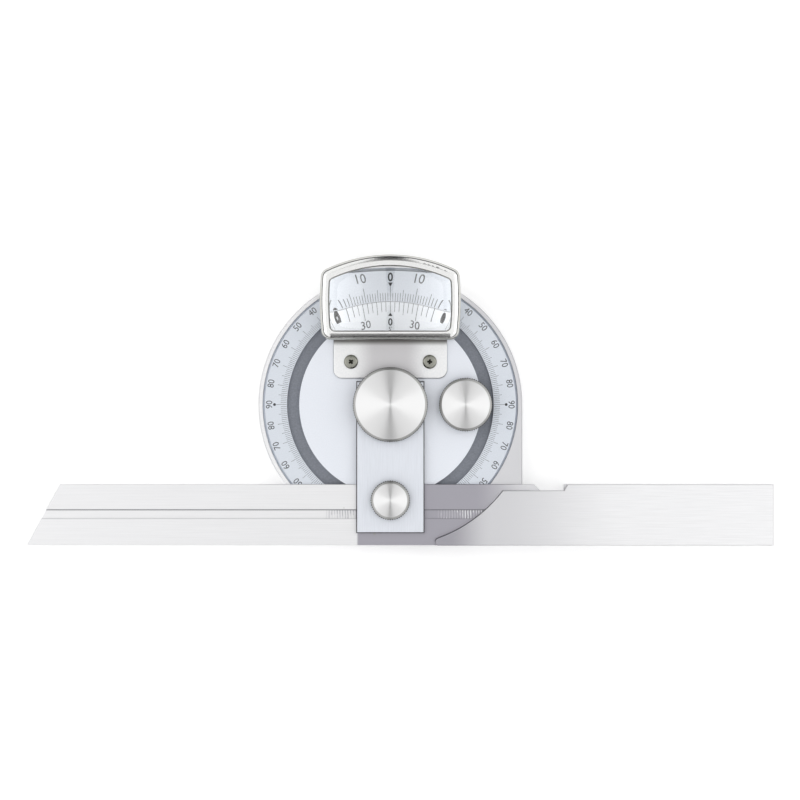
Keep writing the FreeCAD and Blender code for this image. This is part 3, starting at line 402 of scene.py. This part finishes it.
stockTones = {  # places in mm
    "lipTop": -27.5,
    "lipFull": -28.0,
    "stockFrom": 5.0,
    "stockFull": 10.0,
    "shoulderFrom": 85.0,
    "shoulderFull": 34.0,
    "shoulder": (0.70, 0.70, 0.72),
    "tipFrom": 36.0,
    "tipFull": 20.0,
    "tip": (0.40, 0.39, 0.43),
    "apronFrom": 22.0,
    "apronFull": 30.0,
    "apron": (0.72, 0.72, 0.74),
}


def toneStock(material, values):
    # the ground faces are darker towards the dial
    tree = material.node_tree
    x, y, z = placeInMm(tree)
    onLip = spread(tree, y, values["lipTop"], values["lipFull"])
    stock = times(tree, onLip, spread(tree, x, values["stockFrom"], values["stockFull"]))
    for part in ("shoulder", "tip"):
        along = spread(tree, x, values[part + "From"], values[part + "Full"])
        stain(material, times(tree, along, stock), values[part])
    above = spread(tree, y, values["lipFull"], values["lipTop"])
    beside = times(tree, above, spread(tree, x, values["apronFrom"], values["apronFull"]))
    stain(material, beside, values["apron"])


plateTones = {
    "middleHalf": 5.0,
    "middleSoft": 9.0,
    "middleStrength": 0.8,
    # painted reflection of the frame and knob, darker in the middle
    "middle": (0.60, 0.585, 0.60),
    # painted shadow where the plate runs under the magnifier's frame
    "frameShadeFrom": 20.4,
    "frameShadeTo": 22.6,
    "frameStrength": 0.9,
    "frameShade": (0.10, 0.095, 0.085),
}


def tonePlate(material, values):
    # a painted reflection darkens the middle, and a painted shadow darkens it where it runs under the
    # magnifier's frame
    tree = material.node_tree
    x, y, z = placeInMm(tree)
    half = values["middleHalf"]
    middle = within(tree, x, -half, half, values["middleSoft"])
    stain(material, times(tree, middle, values["middleStrength"]), values["middle"])
    under = spread(tree, y, values["frameShadeFrom"], values["frameShadeTo"])
    stain(material, times(tree, under, values["frameStrength"]), values["frameShade"])


wallShades = {  # painted shade on walls and bevels (on the chrome, a painted dark reflection): its colour, then where it begins, by how far a face looks up
    "chrome": ((0.55, 0.55, 0.52), 0.72, 0.60),
    "arm": ((0.16, 0.16, 0.17), 0.92, 0.74),
    "plate": ((0.16, 0.16, 0.17), 0.80, 0.60),
}


def toneSides(material, shade, flat, steep):
    # painted shade: bevels and walls darker than the top, by how far a face looks up
    tree = material.node_tree
    coordinates = node(tree, "ShaderNodeTexCoord")
    split = node(tree, "ShaderNodeSeparateXYZ")
    tree.links.new(coordinates.outputs["Normal"], split.inputs["Vector"])
    stain(material, spread(tree, split.outputs["Z"], flat, steep), shade)


for mark in (dullBlade, hatchGroove, speckBlade):
    mark(finishes["blade"], bladeMarks)
toneStock(finishes["ground"], stockTones)
tonePlate(finishes["plate"], plateTones)
for name, tones in wallShades.items():
    toneSides(finishes[name], *tones)


def lensGlass(name, bend):
    # light that comes back up from the dial goes straight out, so it is counted once
    material = bpy.data.materials.new(name)
    material.use_nodes = True
    tree = material.node_tree
    shader = tree.nodes["Principled BSDF"]
    shader.inputs["Base Color"].default_value = (1, 1, 1, 1)
    shader.inputs["Roughness"].default_value = 0.0
    shader.inputs["IOR"].default_value = bend
    shader.inputs["Transmission Weight"].default_value = 1.0
    clear = node(tree, "ShaderNodeBsdfTransparent")
    path = node(tree, "ShaderNodeLightPath")
    returning = node(tree, "ShaderNodeMixShader")
    shadowed = node(tree, "ShaderNodeMixShader")
    output = tree.nodes["Material Output"]
    bounced = maths(tree, "GREATER_THAN", path.outputs["Diffuse Depth"], 0.5)
    glossed = maths(tree, "GREATER_THAN", path.outputs["Glossy Depth"], 0.5)
    back = maths(tree, "MAXIMUM", bounced, glossed)
    tree.links.new(back, returning.inputs[0])
    tree.links.new(shader.outputs["BSDF"], returning.inputs[1])
    tree.links.new(clear.outputs["BSDF"], returning.inputs[2])
    tree.links.new(path.outputs["Is Shadow Ray"], shadowed.inputs[0])
    tree.links.new(returning.outputs["Shader"], shadowed.inputs[1])
    tree.links.new(clear.outputs["BSDF"], shadowed.inputs[2])
    tree.links.new(shadowed.outputs["Shader"], output.inputs["Surface"])
    return material


finishes["glass"] = lensGlass("lensGlass", 1.60)

finishOf = {
    "base_body": "ground",
    "dial_ring": "dial",
    "dial_screws": "screw",
    "ring_gear": "grey",
    "ring_gear_screws": "screw",
    "pivot_stud": "gear",
    "thrust_washer": "brass",
    "turret_disc": "turret",
    "vernier_plate": "vernier",
    "vernier_rivets": "gear",
    "clamp_arm": "arm",
    "arm_screws": "screw",
    "arm_dowels": "gear",
    "pinion_bush": "brass",
    "clamp_washer": "turned",
    "magnifier_bracket": "plate",
    "bracket_screws": "screw",
    "magnifier_frame": "chrome",
    "frame_screws": "screw",
    "magnifier_lens": "glass",
    "lens_retainer": "dark",
    "blade": "blade",
    "hook_bolt": "gear",
    "clamp_knob": "clampKnob",
    "lock_washer": "turned",
    "lock_knob": "lockKnob",
    "pinion_shaft": "gear",
    "fine_knob": "fineKnob",
    "fine_knob_screw": "screw",
}
for name, solid in nodes.items():
    solid.data.materials.clear()
    solid.data.materials.append(finishes[finishOf[name]])
print("stage: finishes on", len(finishOf))


dialScale = {
    "face": 5.4,  # mm, level of the dial's face
    "proud": 0.012,
    "start": 36.55,
    "degree": 2.05,
    "five": 2.9,
    "ten": 3.7,
    "width": 0.11,
    "numeralRadius": 42.7,
    "numeralHeight": 2.25,
    "numeralSqueeze": 0.92,
    "dotRadius": 40.8,
    "dotSize": 1.0,
    "arrowTip": 40.2,
    "arrowBase": 41.3,
    "arrowWidth": 1.2,
}


def addBar(width, low, high, face, sunk=0.02, proud=0.012):
    # a filled line along +Y between two radii, just proud of the face
    clearSelection()
    bpy.ops.mesh.primitive_cube_add(size=1)
    bar = bpy.context.object
    bpy.ops.object.mode_set(mode="EDIT")
    bpy.ops.transform.resize(value=(width * mm, (high - low) * mm, (sunk + proud) * mm))
    bpy.ops.transform.translate(value=(0, (low + high) / 2 * mm, (face + (proud - sunk) / 2) * mm))
    objectMode()
    selectFaces(bar, lambda face: face.normal.z < -0.5)
    bpy.ops.mesh.delete(type="FACE")  # the side inside the metal is never seen
    objectMode()
    return bar


def addWords(words, height, place, turn, face, squeeze=1.0, weight=0.0, proud=0.012):
    # lettering whose height is set from its own outline, with the place put in the mesh afterwards
    clearSelection()
    bpy.ops.object.text_add()
    text = bpy.context.object
    text.data.body = words
    text.data.align_x = "CENTER"
    text.data.align_y = "CENTER"
    text.data.resolution_u = 3
    text.data.offset = weight
    bpy.ops.object.convert(target="MESH")
    mark = bpy.context.object
    corners = [v.co for v in mark.data.vertices]
    low, high = min(c.y for c in corners), max(c.y for c in corners)
    left, right = min(c.x for c in corners), max(c.x for c in corners)
    size = height * mm / (high - low)
    bpy.ops.object.mode_set(mode="EDIT")
    bpy.ops.mesh.select_all(action="SELECT")
    bpy.ops.transform.translate(value=(-(left + right) / 2, -(low + high) / 2, 0))
    bpy.ops.transform.resize(value=(size * squeeze, size, 1), center_override=(0, 0, 0))
    objectMode()
    return settle(mark, (place[0] * mm, place[1] * mm, (face + proud) * mm), turn)


def addArrow(tip, base, width, face, proud=0.014):
    clearSelection()
    bpy.ops.mesh.primitive_circle_add(vertices=3, radius=1, fill_type="NGON")
    arrow = bpy.context.object
    corners = sorted(arrow.data.vertices, key=lambda v: v.co.y)
    corners[0].co, corners[1].co, corners[2].co = [
        Vector((x * mm, y * mm, (face + proud) * mm))
        for x, y in ((-width / 2, base), (width / 2, base), (0, tip))
    ]
    bpy.ops.object.mode_set(mode="EDIT")
    bpy.ops.mesh.select_all(action="SELECT")
    bpy.ops.mesh.normals_make_consistent(inside=False)
    objectMode()
    if arrow.data.polygons[0].normal.z < 0:
        bpy.ops.object.mode_set(mode="EDIT")
        bpy.ops.mesh.flip_normals()
        objectMode()
    return arrow


def makeDialScale(values):
    marks = []
    first, five, ten = values["degree"], values["five"], values["ten"]
    start = values["start"]
    for low, high, count in ((0, first, 360), (first, five, 72), (five, ten, 36)):
        bar = addBar(values["width"], start + low, start + high, values["face"])
        marks.append(ringOf(bar, count, 360 / count))
    for side in (0, 180):
        arrow = addArrow(values["arrowTip"], values["arrowBase"], values["arrowWidth"], values["face"])
        marks.append(settle(arrow, turn=math.radians(side)))
    for side in (90, -90):
        clearSelection()
        bpy.ops.mesh.primitive_circle_add(
            vertices=24,
            radius=values["dotSize"] / 2 * mm,
            fill_type="NGON",
            location=(0, values["dotRadius"] * mm, (values["face"] + values["proud"]) * mm),
        )
        dot = bpy.context.object
        bpy.ops.object.transform_apply(location=True)
        marks.append(settle(dot, turn=math.radians(side)))
    scale = joined(marks, "dialScale")
    scale.data.materials.clear()
    scale.data.materials.append(finishes["ink"])
    return scale


def makeDialNumerals(values):
    numerals = []
    for turn in range(0, 360, 10):
        reading = min(turn % 180, 180 - turn % 180)
        angle = math.radians(90 - turn)
        place = (values["numeralRadius"] * math.cos(angle), values["numeralRadius"] * math.sin(angle))
        numerals.append(
            addWords(
                str(reading),
                values["numeralHeight"],
                place,
                -math.radians(turn),
                values["face"],
                squeeze=values["numeralSqueeze"],
                weight=0.02 if reading == 0 else 0.0,
            )
        )
    whole = joined(numerals, "dialNumerals")
    whole.data.materials.clear()
    whole.data.materials.append(finishes["ink"])
    return whole


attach(makeDialScale(dialScale), "base")
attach(makeDialNumerals(dialScale), "base")
print("stage: dial scale and numerals")


vernierScale = {
    "face": 5.4,
    "edge": 36.3,
    "short": 2.7,
    "quarter": 3.4,
    "half": 4.3,
    "width": 0.11,
    "step": 23 / 12,  # degrees, one division of the vernier
    "count": 12,
    "numeralRadius": 31.0,
    "numeralHeight": 1.9,
    "arrowTip": 33.4,
    "arrowBase": 32.5,
    "arrowWidth": 1.1,
    "unitRadius": 29.3,
    "unitHeight": 1.0,
    "borderWidth": 0.08,
    "borderAngle": 35.0,
}


def makeVernierScale(values):
    marks = []
    for number in range(-values["count"], values["count"] + 1):
        length = values["short"]
        if number % 3 == 0:
            length = values["quarter"]
        if number % 6 == 0:
            length = values["half"]
        edge = values["edge"]
        if number == 0:
            length = edge - values["arrowTip"]
        bar = addBar(values["width"], edge - length, edge, values["face"])
        marks.append(settle(bar, turn=-math.radians(number * values["step"])))
    marks.append(
        addArrow(values["arrowTip"], values["arrowBase"], values["arrowWidth"], values["face"])
    )
    for number in (-12, -6, 0, 6, 12):
        turn = number * values["step"]
        angle = math.radians(90 - turn)
        radius = values["numeralRadius"]
        marks.append(
            addWords(
                str(abs(number) * 5),
                values["numeralHeight"],
                (radius * math.cos(angle), radius * math.sin(angle)),
                -math.radians(turn),
                values["face"],
                squeeze=0.92,
                weight=0.02 if number == 0 else 0.0,
            )
        )
    marks.append(
        addWords("5'", values["unitHeight"], (0, values["unitRadius"]), 0, values["face"])
    )
    pace = 1.0  # degrees, the arc along the plate's edge is drawn in short straight lines
    span = values["borderAngle"]
    edge = values["edge"]
    line = addBar(edge * math.radians(pace), edge - values["borderWidth"], edge, values["face"])
    settle(line, turn=math.radians(span))
    marks.append(ringOf(line, int(2 * span / pace) + 1, pace))
    whole = joined(marks, "vernierScale")
    whole.data.materials.clear()
    whole.data.materials.append(finishes["ink"])
    return whole


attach(makeVernierScale(vernierScale), "turret")
print("stage: vernier scale")


plateScrew = {
    "places": ((-13.85, 15.05), (13.85, 15.05)),
    "radius": 2.5,
    "low": 6.6,
    "high": 8.3,
    "crown": 0.7,
    "slotWidth": 0.75,
    "slotLength": 2.8,
    "slotDepth": 1.0,
    "turns": (38, 85),  # degrees, how far each one was driven
}


def makePlateScrews(values):
    low, high = values["low"], values["high"]
    clearSelection()
    bpy.ops.mesh.primitive_cylinder_add(
        vertices=48,
        radius=values["radius"] * mm,
        depth=(high - low) * mm,
        location=(0, 0, (low + high) / 2 * mm),
    )
    screw = bpy.context.object
    bpy.ops.object.transform_apply(location=True)
    top = (high - 0.01) * mm
    selectEdges(screw, lambda a, b: a.z > top and b.z > top)
    bpy.ops.mesh.bevel(offset=values["crown"] * mm, segments=6, profile=0.5, affect="EDGES")
    objectMode()
    cutters = []
    for turn in (0, 90):
        clearSelection()
        bpy.ops.mesh.primitive_cube_add(size=1)
        bar = bpy.context.object
        bpy.ops.object.mode_set(mode="EDIT")
        bpy.ops.transform.resize(
            value=(
                values["slotLength"] * mm,
                values["slotWidth"] * mm,
                2 * values["slotDepth"] * mm,
            )
        )
        objectMode()
        selectFaces(bar, lambda face: face.normal.z < -0.5)
        bpy.ops.transform.resize(value=(0.25, 0.8, 1))  # the recess narrows towards its point
        objectMode()
        cutters.append(settle(bar, (0, 0, high * mm), math.radians(turn)))
    for cutter in cutters:
        only(screw)
        cut = screw.modifiers.new("slot", "BOOLEAN")
        cut.operation = "DIFFERENCE"
        cut.object = cutter
        cut.solver = "EXACT"
        bpy.ops.object.modifier_apply(modifier="slot")
        bpy.data.objects.remove(cutter)
    only(screw)
    bpy.ops.object.shade_smooth_by_angle(angle=math.radians(35))
    copies = []
    for place, driven in zip(values["places"], values["turns"]):
        only(screw)
        bpy.ops.object.duplicate()
        copy = bpy.context.object
        copies.append(settle(copy, (place[0] * mm, place[1] * mm, 0), math.radians(driven)))
    bpy.data.objects.remove(screw)
    whole = joined(copies, "plateScrews")
    whole.data.materials.clear()
    whole.data.materials.append(finishes["screw"])
    whole.data.materials.append(finishes["recess"])
    # painted shade on the faces inside the cross recesses
    for face in whole.data.polygons:
        away = min(math.dist(face.center[:2], (x * mm, y * mm)) for x, y in values["places"])
        if away < values["slotLength"] / 2 * mm and face.center.z < (high - 0.02) * mm:
            face.material_index = 1
    return whole


plateScrews = makePlateScrews(plateScrew)
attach(plateScrews, "turret")
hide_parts("bracket_screws")
print("stage: plate screws")


studio = {
    "floorColour": 0.90,
    "floorGlow": 0.30,
    "skyLight": 0.84,
    "lampPower": 1.1,
    "lampSize": 0.8,
    "lampReach": 0.75,
    "lampHeight": 0.75,
    "cardDistance": 0.5,
    "cardLean": 0.38,
    "cardWidth": 0.09,
    "cardHeight": 1.2,
    "cardFoot": 0.02,
    "cardTone": 0.02,
    "bandRadius": 0.6,
    "bandLow": 0.03,
    "bandHigh": 0.27,
    "bandTone": 0.10,
}


def makeFloor(values):
    clearSelection()
    bpy.ops.mesh.primitive_plane_add(size=8)
    floor = bpy.context.object
    floor.name = "floor"
    material = bpy.data.materials.new("paleFloor")
    material.use_nodes = True
    tree = material.node_tree
    shader = tree.nodes["Principled BSDF"]
    level = values["floorColour"]
    shader.inputs["Base Color"].default_value = (level, level, level, 1)
    shader.inputs["Roughness"].default_value = 0.9
    shader.inputs["Specular IOR Level"].default_value = 0.0
    glow = node(tree, "ShaderNodeEmission", Strength=values["floorGlow"])
    added = node(tree, "ShaderNodeAddShader")
    mix = node(tree, "ShaderNodeMixShader")
    tree.links.new(seenRay(tree), mix.inputs[0])
    tree.links.new(shader.outputs["BSDF"], mix.inputs[1])
    tree.links.new(shader.outputs["BSDF"], added.inputs[0])
    tree.links.new(glow.outputs["Emission"], added.inputs[1])
    tree.links.new(added.outputs["Shader"], mix.inputs[2])
    tree.links.new(mix.outputs["Shader"], tree.nodes["Material Output"].inputs["Surface"])
    floor.data.materials.append(material)
    return floor


def seenRay(tree):
    # one for rays that show the background: straight, in metal or through glass
    path = node(tree, "ShaderNodeLightPath")
    total = None
    for name in ("Is Camera Ray", "Is Glossy Ray", "Is Transmission Ray"):
        if total is None:
            total = path.outputs[name]
            continue
        step = node(tree, "ShaderNodeMath", operation="MAXIMUM")
        tree.links.new(total, step.inputs[0])
        tree.links.new(path.outputs[name], step.inputs[1])
        total = step.outputs["Value"]
    return total


def makeSky(values):
    world = bpy.data.worlds.new("paleStudio")
    bpy.context.scene.world = world
    world.use_nodes = True
    tree = world.node_tree
    light = tree.nodes["Background"]
    light.inputs["Strength"].default_value = values["skyLight"]
    light.inputs["Color"].default_value = (1, 1, 1, 1)
    shown = node(tree, "ShaderNodeBackground", Strength=1.0)
    shown.inputs["Color"].default_value = (1, 1, 1, 1)
    mix = node(tree, "ShaderNodeMixShader")
    tree.links.new(seenRay(tree), mix.inputs[0])
    tree.links.new(light.outputs["Background"], mix.inputs[1])
    tree.links.new(shown.outputs["Background"], mix.inputs[2])
    tree.links.new(mix.outputs["Shader"], tree.nodes["World Output"].inputs["Surface"])


def makeLamps(values):
    for side in (-1, 1):
        clearSelection()
        bpy.ops.object.light_add(type="AREA")
        lamp = bpy.context.object
        lamp.name = "softboxLeft" if side < 0 else "softboxRight"
        lamp.data.shape = "RECTANGLE"
        lamp.data.size = values["lampSize"]
        lamp.data.size_y = values["lampSize"]
        lamp.data.energy = values["lampPower"]
        place = Vector((side * values["lampReach"], 0, values["lampHeight"]))
        lamp.location = place
        lamp.rotation_euler = (-place).to_track_quat("-Z", "Y").to_euler()


def darkCard(card, name, tone):
    # seen in the metal alone, so it neither shades the object nor stands in the picture
    card.name = name
    card.data.materials.append(metal(name + "Face", (tone, tone, tone), 0.9, metallic=0.0))
    card.visible_camera = False
    card.visible_diffuse = False
    card.visible_shadow = False
    card.visible_transmission = False
    return card


def makeCards(values):
    cards = []
    for side, name in ((-1, "cardFront"), (1, "cardBack")):
        clearSelection()
        bpy.ops.mesh.primitive_plane_add(size=1)
        card = bpy.context.object
        for corner in card.data.vertices:
            upper = corner.co.y > 0
            corner.co.x *= values["cardWidth"]
            corner.co.y = side * (values["cardDistance"] - (values["cardLean"] if upper else 0))
            corner.co.z = values["cardHeight"] if upper else values["cardFoot"]
        cards.append(darkCard(card, name, values["cardTone"]))
    clearSelection()
    low, high = values["bandLow"], values["bandHigh"]
    bpy.ops.mesh.primitive_cylinder_add(
        vertices=64,
        radius=values["bandRadius"],
        depth=high - low,
        end_fill_type="NOTHING",
        location=(0, 0, (high + low) / 2),
    )
    cards.append(darkCard(bpy.context.object, "cardBand", values["bandTone"]))
    return cards


view = {
    "centreX": 0.0034,
    "centreY": 0.0016,
    "level": 0.007,
    "distance": 2.5,
    "width": 0.2816,
    "film": 36,
}


def makeCamera(values):
    clearSelection()
    bpy.ops.object.camera_add(
        location=(values["centreX"], values["centreY"], values["level"] + values["distance"]),
        rotation=(0, 0, 0),
    )
    camera = bpy.context.object
    camera.data.sensor_width = values["film"]
    camera.data.lens = values["film"] * values["distance"] / values["width"]
    camera.data.clip_end = 20
    bpy.context.scene.camera = camera


floor = makeFloor(studio)
makeSky(studio)
makeLamps(studio)
makeCards(studio)
makeCamera(view)
bpy.context.scene.view_settings.view_transform = "Standard"
print("stage: floor, light and camera")
